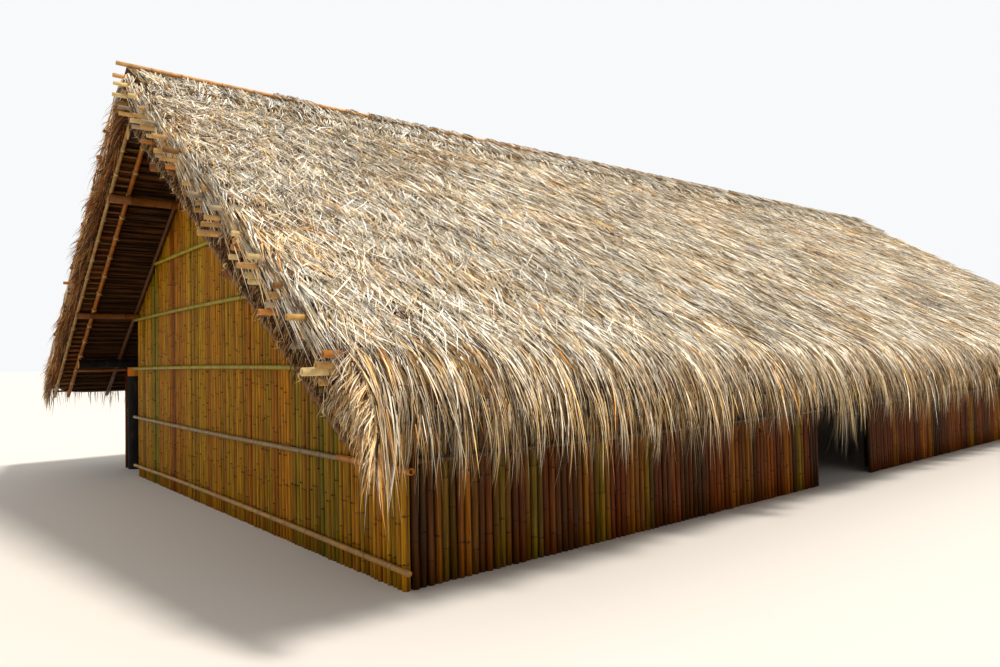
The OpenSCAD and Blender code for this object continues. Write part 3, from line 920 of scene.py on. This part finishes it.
def slope_blades(name, seed, side, count, low, high):
    """Loose leaf blades lying down one stretch of a slope, some of their tips at the courses' lips."""
    rng = np.random.default_rng(seed)
    shape = Shape()
    x = (roof_end - 0.01) * (2 * rng.random(count) ** NEAR_CROWD - 1)
    edge = np.exp((np.abs(x) - roof_end) / EDGE_REACH)
    length = rng.gamma(9.0, 0.075, count).clip(*LYING_LENGTH)
    lip = rng.integers(1, COURSES, count) * course_pitch + COURSE_LAP
    lip = lip + rng.normal(0, 0.08, count) + 0.04 * np.sin(x * 2.1 + lip) * np.sin(x * 5.3 + lip * 3)
    loose = rng.random(count) < LOOSE_SHARE
    tip = np.where(loose, rng.uniform(low, high, count), low + (lip - low) % (high - low))
    s = np.maximum(tip - length, ridge_s)
    length = np.maximum(tip - s, 0.12)
    heading = combed(x) + rng.normal(0, 0.25, count) + 0.14 * patches(x * 2.3, s * 2.0)
    heading = heading + 0.26 * (clumps(3, x, s, CLUMP_ACROSS * 2, CLUMP_ALONG) - 0.5)
    heading = heading + np.sign(x) * EDGE_FAN * edge * rng.random(count) ** 2
    curl = rng.normal(0, 0.14, count)
    t = LYING_STEPS[None]
    place = s[:, None] + length[:, None] * t * np.cos(heading)[:, None]
    drift = length[:, None] * (t * np.sin(heading)[:, None] + curl[:, None] * t ** 2)
    arch = rng.uniform(0.0, 0.014, count)[:, None] * 4 * t * (1 - t)
    lift = course_lift(place, tip - 0.5 * course_pitch) * (1 + EDGE_SWELL * edge)[:, None]
    lift = lift + rng.uniform(-0.010, 0.026, count)[:, None]
    lift = lift + arch + rng.gamma(1.5, 0.008, count)[:, None] * t ** 2
    y, z = on_surface(place, lift)
    across, z = over_edge(x[:, None] + drift, z)
    wide = rng.uniform(*LYING_WIDTH, count) * (1 + FAR_WIDER * x / roof_end)
    if side > 0:
        wide = wide * BACK_WIDER
    bright = 0.80 + 0.50 * clumps(5, x, s, CLUMP_ACROSS, CLUMP_ALONG)
    bright = bright * (1 + 0.15 * patches(x * 0.7 + 3, s * 0.8))
    bright = bright * rng.normal(1.0, 0.24, count).clip(0.35, 1.5)
    tints = straw_tints(rng, x, s) * bright[:, None]
    lay(shape, rng, np.stack([across, side * y, z], -1), (0.0, side * SIN, COS), LYING_ROLL,
        wide[:, None] * LYING_PROFILE, tints[:, None] * LYING_PAINTED_SHADE)
    shape.build(name, BLADE)


def slopes():
    edges = np.linspace(ridge_s + BLADES_FROM, bend_s + BLADES_PAST_BEND, BLADE_BANDS + 1)
    for seed, (side, name) in zip((50, 60), SIDES):
        for band in range(BLADE_BANDS):
            low, high = edges[band:band + 2]
            slope_blades(f"blades_{name}_{band + 1}", seed + band, side, BLADES[name], low, high)


# Fringe at the eaves

FRINGE_BLADES = {"front": 18500, "back": 5000}
FRINGE_STEPS = np.array([0.0, 0.3, 0.55, 0.8, 1.0])
FRINGE_PROFILE = np.interp(FRINGE_STEPS, [0, 0.5, 1], [0.7, 1.0, 0.0])
FRINGE_LENGTH = (0.15, 1.7)
FRINGE_ROLL = 0.9
COVER_SHARE = 0.40
COVER_FROM = (bend_s - 0.45, bend_s + 0.30)
COVER_SHORTER = 0.42
COVER_WIDTH = (0.006, 0.014)
HANGING_FROM = (bend_s - 0.20, bend_s + 0.55)
HANGING_END = (-0.36, 0.17)
HANGING_WIDTH = (0.004, 0.009)
GOLDEN_FROM = (bend_s + 0.10, bend_s + 0.50)
STRAND_SHARE = 0.05
STRAND_LONGER = (0.02, 0.22)


def fringe(name, seed, side, count):
    """Blades that bend over the eave and hang in an uneven curtain, pale on top and golden strands below."""
    rng = np.random.default_rng(seed)
    shape = Shape()
    x = rng.uniform(-roof_end, roof_end, count)
    cover = rng.random(count) < COVER_SHARE
    s = np.where(cover, rng.uniform(*COVER_FROM, count), rng.uniform(*HANGING_FROM, count))
    tuft = 0.08 * np.sin(x * 5.1) * np.sin(x * 1.9 + 1.0) + 0.04 * np.sin(x * 13.0 + 2.0)
    tuft = tuft + np.where(cover, 0.12, 0.34) * (clumps_on_line(7, x, 0.12) - 0.5)
    ending = np.where(cover, rng.normal(-COVER_SHORTER, 0.08, count), rng.uniform(*HANGING_END, count))
    reach = fringe_s + tuft + ending
    strand = rng.random(count) < STRAND_SHARE
    reach = reach + np.where(strand, rng.uniform(*STRAND_LONGER, count), 0)
    length = (reach - s).clip(*FRINGE_LENGTH)
    t = FRINGE_STEPS[None]
    heading = rng.normal(0, 0.07, count) + 0.20 * (clumps_on_line(9, x, 0.09) - 0.5)
    curl = rng.normal(0, 0.045, count)
    place = s[:, None] + length[:, None] * t
    drift = length[:, None] * (t * heading[:, None] + curl[:, None] * t ** 2)
    depth = rng.random(count)
    inward = (0.02 - 0.24 * depth)[:, None] * t ** 1.4
    y, z = on_surface(place, inward + rng.uniform(-0.018, 0.018, count)[:, None])
    across, z = over_edge(x[:, None] + drift, z)
    wide = np.where(cover, rng.uniform(*COVER_WIDTH, count), rng.uniform(*HANGING_WIDTH, count))
    if side > 0:
        wide = wide * BACK_WIDER
    bright = (0.78 + 0.40 * clumps_on_line(11, x, 0.05)) * rng.normal(1.0, 0.18, count).clip(0.4, 1.5)
    # Painted shade and light: inner strands are darker and outer strands brighter than their colour.
    cream = straw_tints(rng, x, s) * (1.42 - 0.85 * depth)[:, None]
    golden = pick(rng, HANGING, count, 0.22) * (1.30 - 1.27 * depth ** 0.5)[:, None]
    below = np.interp(place, GOLDEN_FROM, [0.0, 1.0])[..., None]
    tints = cream[:, None] * (1 - below) + golden[:, None] * below
    lay(shape, rng, np.stack([across, side * y, z], -1), (0.0, side * 0.9, 0.4), FRINGE_ROLL,
        wide[:, None] * FRINGE_PROFILE, tints * bright[:, None, None])
    shape.build(name, BLADE)


# Blade ends at the gable edges

VERGE_BLADES = {"left": 2400, "right": 1600}
VERGE_STEPS = np.array([0.0, 0.35, 0.7, 1.0])
VERGE_PROFILE = np.interp(VERGE_STEPS, [0, 0.4, 1], [0.9, 1.0, 0.0])
VERGE_LENGTH = (0.04, 0.50)
VERGE_WIDTH = (0.005, 0.012)
VERGE_SLANT = (math.radians(45), math.radians(100))
VERGE_ROLL = 0.9
FAR_PAINTED_SHADE = np.array([0.82, 0.54, 0.26])
FAR_LONGER = 0.12
CORNER_BLADES = 700
CORNER_WIDTH = (0.004, 0.011)
CORNER_IN = np.array([-0.20, 0.25])


def eave_corner(shape, rng, end, side):
    """Blades that hang down over the end of the eave."""
    count = CORNER_BLADES
    t = rng.random(count)[:, None]
    depth = rng.random(count)[:, None] ** 1.6 * 0.8
    outer = bend(bend_start, bend_shoulder, bend_tip, t * 0.9)
    inner = np.array(slope_yz(bend_s, thatch_n)) * (1 - t) + (bend_tip + CORNER_IN) * t
    root = outer * (1 - depth) + inner * depth
    length = rng.uniform(0.06, 0.16, (count, 1)) + 0.34 * rng.random((count, 1)) ** 2 * (1 - depth) * t ** 2
    steps = VERGE_STEPS[None]
    y = root[:, :1] + length * steps * rng.normal(0.12, 0.14, (count, 1))
    z = root[:, 1:] - length * steps
    out = rng.uniform(0.0, 0.10, (count, 1)) * np.sin(steps * math.pi / 2)
    centres = np.stack([end * (roof_end - 0.01 + out), side * y, z], -1)
    widths = rng.uniform(*CORNER_WIDTH, (count, 1)) * VERGE_PROFILE
    # Painted shade: blades deeper in, toward the eave's underside, are darker.
    colours = pick(rng, HANGING, count, 0.22) * (1.15 - 0.5 * depth)
    lay(shape, rng, centres, (end, 0.0, 0.0), VERGE_ROLL, widths, colours[:, None])


def verge(name, seed, end, side, count):
    """Short blade ends that stick out of the cut edge of the thatch and droop, longer on the back slope."""
    far = side > 0
    rng = np.random.default_rng(seed)
    shape = Shape()
    s = rng.uniform(-0.05, bend_s + 0.1, count)
    depth = rng.random(count)
    n = top_n + COURSE_STEP * 0.3 - depth * (THATCH_T + 0.01)
    room = (n - thatch_n + 0.10) / 0.85
    length = rng.gamma(4.0, 0.065 if far else 0.030, count).clip(*VERGE_LENGTH)
    length = np.minimum(length, room + FAR_LONGER * far)
    outward = rng.uniform(0.1, 1.0, count) * (0.08 + far * 0.14 * clumps_on_line(23, s, 0.22))
    slant = rng.uniform(*VERGE_SLANT, count)
    t = VERGE_STEPS[None]
    y0, z0 = slope_yz(s, n)
    flow = length[:, None] * t
    y = y0[:, None] + flow * np.cos(slant)[:, None]
    z = z0[:, None] - flow * np.sin(slant)[:, None]
    x = roof_end - 0.015 + outward[:, None] * np.sin(t * math.pi / 2)
    widths = rng.uniform(*VERGE_WIDTH, count)[:, None] * VERGE_PROFILE
    # Painted shade: blades deeper in the cut edge more often take the darker palette, and all are darkened by
    # depth.
    warm = pick(rng, HANGING, count, 0.20)
    deep_painted_shade = pick(rng, PAINTED_SHADE_STRAW, count, 0.24)
    colours = np.where((rng.random(count) < 1.2 * depth)[:, None], deep_painted_shade, warm)
    colours = colours * (1.0 - 0.45 * depth)[:, None]
    # Painted shade: the back slope's verge blades are darkened and warmed.
    if far:
        colours = colours * FAR_PAINTED_SHADE
    centres = np.stack([end * x, side * y, z], -1)
    lay(shape, rng, centres, (end, 0.0, 0.0), VERGE_ROLL, widths, colours[:, None])
    eave_corner(shape, rng, end, side)
    shape.build(name, BLADE)


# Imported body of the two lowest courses

END_RISE = 0.55
END_REACH = 0.12
LIP_IN = np.array([-0.13, 0.24])
LIP_WIDTH = np.array([0.03, 0.0])
UNDER_BLADES = np.array([0.010, 0.012])
EAVE_STEPS = 60
BEND_STEPS = 7


def eave_base(name, side, node_name):
    """A closed body whose lower edge is hidden by the fringe and drawn up at both ends."""
    shape = Shape()
    first = (COURSES - 2) * course_pitch
    lip = bend_tip + LIP_IN
    outline = [slope_yz(first + COURSE_LAP, top_n - COURSE_STEP / 2), slope_yz(first, thatch_n),
               slope_yz(rafter_foot, thatch_n), tuple(lip - LIP_WIDTH)]
    for t in np.linspace(1.0, 0.0, BEND_STEPS):
        outline.append(tuple(bend(bend_start, bend_shoulder, lip, t) - UNDER_BLADES))
    outline = np.array(outline)
    count = len(outline)
    x = roof_end * np.sin(np.linspace(-math.pi / 2, math.pi / 2, EAVE_STEPS))
    drawn_up = END_RISE * np.exp((np.abs(x) - roof_end) / END_REACH)
    target = np.array(bend(bend_start, bend_shoulder, lip, 0.45))
    points = np.zeros((EAVE_STEPS, count, 3))
    points[..., 0] = x[:, None]
    for axis, flip in ((0, side), (1, 1)):
        line = np.tile(outline[:, axis], (EAVE_STEPS, 1))
        line[:, 2:-4] += (target[axis] - line[:, 2:-4]) * drawn_up[:, None]
        points[..., axis + 1] = flip * line
    quads = ring_quads(EAVE_STEPS, count)
    flat = points.reshape(-1, 3)
    tris = np.concatenate([cap_tris(0, count, len(flat), side > 0),
                           cap_tris(len(flat) - count, count, len(flat) + 1, side < 0)])
    flat = np.concatenate([flat, np.stack([flat[:count].mean(0), flat[-count:].mean(0)])])
    if side > 0:
        quads = quads[:, ::-1]
    shape.add(flat, np.ones((len(flat), 3)), quads, tris)
    piece = shape.build(name, EAVE_PAINTED_SHADE, smooth=False)
    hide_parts(node_name)


# Sticks in the thatch

SUNNY_ENDS = ("straw", "end_tan", "end_tan", "end_grey", "end_brown", "end_orange")
# The back slope's sticks take darker tints than the front's: painted shade.
PAINTED_SHADE_ENDS = ("end_brown", "tie", "brown")
STICK_NODES_REACH = 0.9
STICK_NODE_GAP = 0.34
STICK_WALL = 0.005
STICK_SWELL = (0.85, 1.15)
STICK_SHIFT = 0.012
STICK_REACH = (-0.05, 0.10)
BACK_SHORTER = 0.08


def sticks():
    """Bamboo sticks that bind the thatch, their hollow ends sticking out in rough columns."""
    for seed, (side, name), ends in zip((81, 82), SIDES, (SUNNY_ENDS, PAINTED_SHADE_ENDS)):
        rng = np.random.default_rng(seed)
        shape = Shape()
        node_name = f"thatch_sticks_{name}"
        for low, high in sorted(islands(node_name), key=lambda box: -box[0][2]):
            middle = (low + high) / 2
            if high[0] - low[0] < stick_end:
                continue
            tint = pole_tint(rng.choice(ends), rng, 0.12)
            reach = stick_end + rng.uniform(*STICK_REACH, 2) - (BACK_SHORTER if side > 0 else 0.0)
            start, end = (middle + np.array([x, *rng.uniform(-STICK_SHIFT, STICK_SHIFT, 2)])
                          for x in (-reach[0], reach[1]))
            bamboo(shape, rng, start, end, STICK_D / 2 * rng.uniform(*STICK_SWELL), tint, STICK_NODE_GAP,
                   hollow=STICK_WALL, reach=STICK_NODES_REACH)
        piece = shape.build(f"bamboo_{node_name}", POLE)
        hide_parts(node_name)


# Ridge

RIDGE_BLADES = 11500
RIDGE_LENGTH = (0.26, 0.55)
RIDGE_WIDTH = (0.008, 0.018)
RIDGE_PROFILE = np.array([0.8, 1.0, 0.0])
# Painted shade at a blade's root, covered by the blades above, and painted light at its tip.
RIDGE_PAINTED_SHADE = np.array([0.72, 0.95, 1.05])[:, None]
CAP_WIDTH = 0.50
CAP_EDGE = (0.34, 0.50)
FRONT_SHARE = 0.62
OVER_BLADES = 2600
OVER_FROM_X = -7.0
OVER_LENGTH = (0.22, 0.55)
OVER_WIDTH = (0.007, 0.014)
OVER_PROFILE = np.interp(FRINGE_STEPS, [0, 0.5, 1], [0.6, 1.0, 0.0])
OVER_ROUND = 0.03


def over_ridge(shape, rng):
    """Blades that lie across the ridge pole, all along but for its near end, with gaps between tufts."""
    x = rng.uniform(OVER_FROM_X, roof_end, OVER_BLADES)
    x = x[clumps_on_line(17, x, 0.14) > 0.30 - 0.05 * x.clip(OVER_FROM_X, 1.0)]
    count = len(x)
    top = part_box("ridge_pole")[1].z
    t = FRINGE_STEPS[None]
    length = rng.uniform(*OVER_LENGTH, count)[:, None]
    turned = rng.choice([-1.0, 1.0], count)[:, None]
    across = x[:, None] + length * (t - 0.5) * rng.normal(0, 0.35, (count, 1))
    y = turned * (length * (t - 0.5) + rng.uniform(-0.08, 0.08, (count, 1)))
    hump = rng.uniform(0.004, 0.022, (count, 1))
    z = top + hump - np.sqrt(y ** 2 + OVER_ROUND ** 2) * SIN / COS + OVER_ROUND * SIN / COS
    widths = rng.uniform(*OVER_WIDTH, count)[:, None] * OVER_PROFILE
    bright = 0.70 + 0.40 * clumps_on_line(19, x, 0.06)
    colours = pick(rng, SUNNY, count, 0.18) * bright[:, None]
    lay(shape, rng, np.stack([across, y, z], -1), (0.0, 0.0, 1.0), 0.7, widths, colours[:, None])


def ridge_thatch(name, seed):
    """Short blades laid from the ridge down both sides of its cap and over the cap's edge."""
    rng = np.random.default_rng(seed)
    shape = Shape()
    count = RIDGE_BLADES
    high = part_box("ridge_cap")[1]
    x = rng.uniform(-roof_end, roof_end, count)
    side = rng.choice([-1.0, 1.0], count, p=(FRONT_SHARE, 1 - FRONT_SHARE))
    length = rng.uniform(*RIDGE_LENGTH, count)
    root = ridge_s - 0.02 + CAP_WIDTH * rng.random(count) ** 1.2
    tip = root + length + 0.04 * np.sin(x * 3.1) * np.sin(x * 7.7)
    t = LYING_STEPS[None]
    heading = combed(x) + rng.normal(0, 0.24, count) + 0.36 * (clumps_on_line(13, x, 0.10) - 0.5)
    place = tip[:, None] - length[:, None] * (1 - t) * np.cos(heading)[:, None]
    lift = np.interp(place, CAP_EDGE, (RIDGE_LIFT + 0.008, 0.022))
    lift = lift + rng.uniform(0.0, 0.020, count)[:, None] + rng.gamma(1.5, 0.008, count)[:, None] * t
    y, z = slope_yz(place, top_n + lift)
    across, z = over_edge(x[:, None] + length[:, None] * t * np.sin(heading)[:, None], z)
    centres = np.stack([across, side[:, None] * np.abs(y), np.minimum(z, high.z + 0.02)], -1)
    normals = np.stack([0 * side, side * SIN, 0 * side + COS], -1)[:, None]
    widths = rng.uniform(*RIDGE_WIDTH, count)[:, None] * RIDGE_PROFILE
    bright = 0.72 + 0.46 * clumps_on_line(15, x, 0.05)
    tints = pick(rng, SUNNY, count, 0.18) * bright[:, None]
    lay(shape, rng, centres, normals, LYING_ROLL, widths, tints[:, None] * RIDGE_PAINTED_SHADE)
    over_ridge(shape, rng)
    shape.build(name, BLADE)


def thatch():
    slopes()
    for seed, (side, name) in zip((71, 72), SIDES):
        fringe(f"fringe_{name}", seed, side, FRINGE_BLADES[name])
    seed = 90
    for end, end_name in ENDS:
        for side, side_name in SIDES:
            verge(f"verge_{end_name}_{side_name}", seed, end, side, VERGE_BLADES[end_name])
            seed += 1
    for side, name in SIDES:
        eave_base(f"eave_thatch_{name}", side, f"thatch_{name}_7")
    ridge_thatch("ridge_blades", 95)


def dress_cad_nodes():
    """Materials of the CAD nodes whose own shape shows."""
    looks = {"laths": LATH, "thatch": PACKED, "ridge_cap": CAP}
    for name, piece in frame["nodes"].items():
        for start, material in looks.items():
            if name.startswith(start):
                piece.data.materials.clear()
                piece.data.materials.append(material)


# Floor, light and camera

FLOOR_SIZE = 400
SKY_STRENGTH = 0.60
BACKGROUND = (0.94, 0.95, 0.96, 1.0)
SUN_STRENGTH = 3.2
SUN_WIDTH = 10
SUN_COLOUR = (1.0, 0.97, 0.92)
SUN_DIRECTION = (-0.30, 0.62, -1.0)
EYE = Vector((-gable_x - 2.728, -wall_y - 4.387, 1.598))
YAW = 39.37
PITCH = 1.667
ROLL = -1.24
LENS = 26.70
SENSOR = 36.0
SEEN_TO = 500


def floor():
    bpy.ops.mesh.primitive_plane_add(size=FLOOR_SIZE)
    plane = bpy.context.object
    plane.name = "floor"
    plane.data.materials.append(floor_material())


def world():
    """Even light all round, with a pale background behind the object."""
    made = bpy.data.worlds.new("studio")
    bpy.context.scene.world = made
    made.use_nodes = True
    nodes, links = made.node_tree.nodes, made.node_tree.links
    light = nodes["Background"]
    light.inputs["Color"].default_value = (1.0, 1.0, 1.0, 1.0)
    light.inputs["Strength"].default_value = SKY_STRENGTH
    seen = nodes.new("ShaderNodeBackground")
    seen.inputs["Color"].default_value = BACKGROUND
    seen.inputs["Strength"].default_value = 1.0
    path = nodes.new("ShaderNodeLightPath")
    shows = path.outputs["Is Camera Ray"]
    for ray in ("Is Glossy Ray", "Is Transmission Ray"):
        either = nodes.new("ShaderNodeMath")
        either.operation = "MAXIMUM"
        links.new(shows, either.inputs[0])
        links.new(path.outputs[ray], either.inputs[1])
        shows = either.outputs["Value"]
    mix = nodes.new("ShaderNodeMixShader")
    links.new(shows, mix.inputs["Fac"])
    links.new(light.outputs["Background"], mix.inputs[1])
    links.new(seen.outputs["Background"], mix.inputs[2])
    links.new(mix.outputs["Shader"], nodes["World Output"].inputs["Surface"])


def sun():
    lamp = bpy.data.lights.new("sun", "SUN")
    lamp.energy = SUN_STRENGTH
    lamp.angle = math.radians(SUN_WIDTH)
    lamp.color = SUN_COLOUR
    made = bpy.data.objects.new("sun", lamp)
    made.rotation_euler = Vector(SUN_DIRECTION).to_track_quat("-Z", "Y").to_euler()
    bpy.context.scene.collection.objects.link(made)


def camera():
    data = bpy.data.cameras.new("camera")
    data.lens = LENS
    data.sensor_width = SENSOR
    data.clip_end = SEEN_TO
    made = bpy.data.objects.new("camera", data)
    bpy.context.scene.collection.objects.link(made)
    turn = Matrix.Rotation(math.radians(-YAW), 4, "Z")
    tilt = Matrix.Rotation(math.radians(90 + PITCH), 4, "X")
    roll = Matrix.Rotation(math.radians(ROLL), 4, "Z")
    made.matrix_world = Matrix.Translation(EYE) @ turn @ tilt @ roll
    bpy.context.scene.camera = made


bpy.context.scene.view_settings.view_transform = "Standard"
camera()
floor()
world()
sun()
dress_cad_nodes()
cane_walls()
rails_and_purlins()
rafters()
logs()
sticks()
thatch()
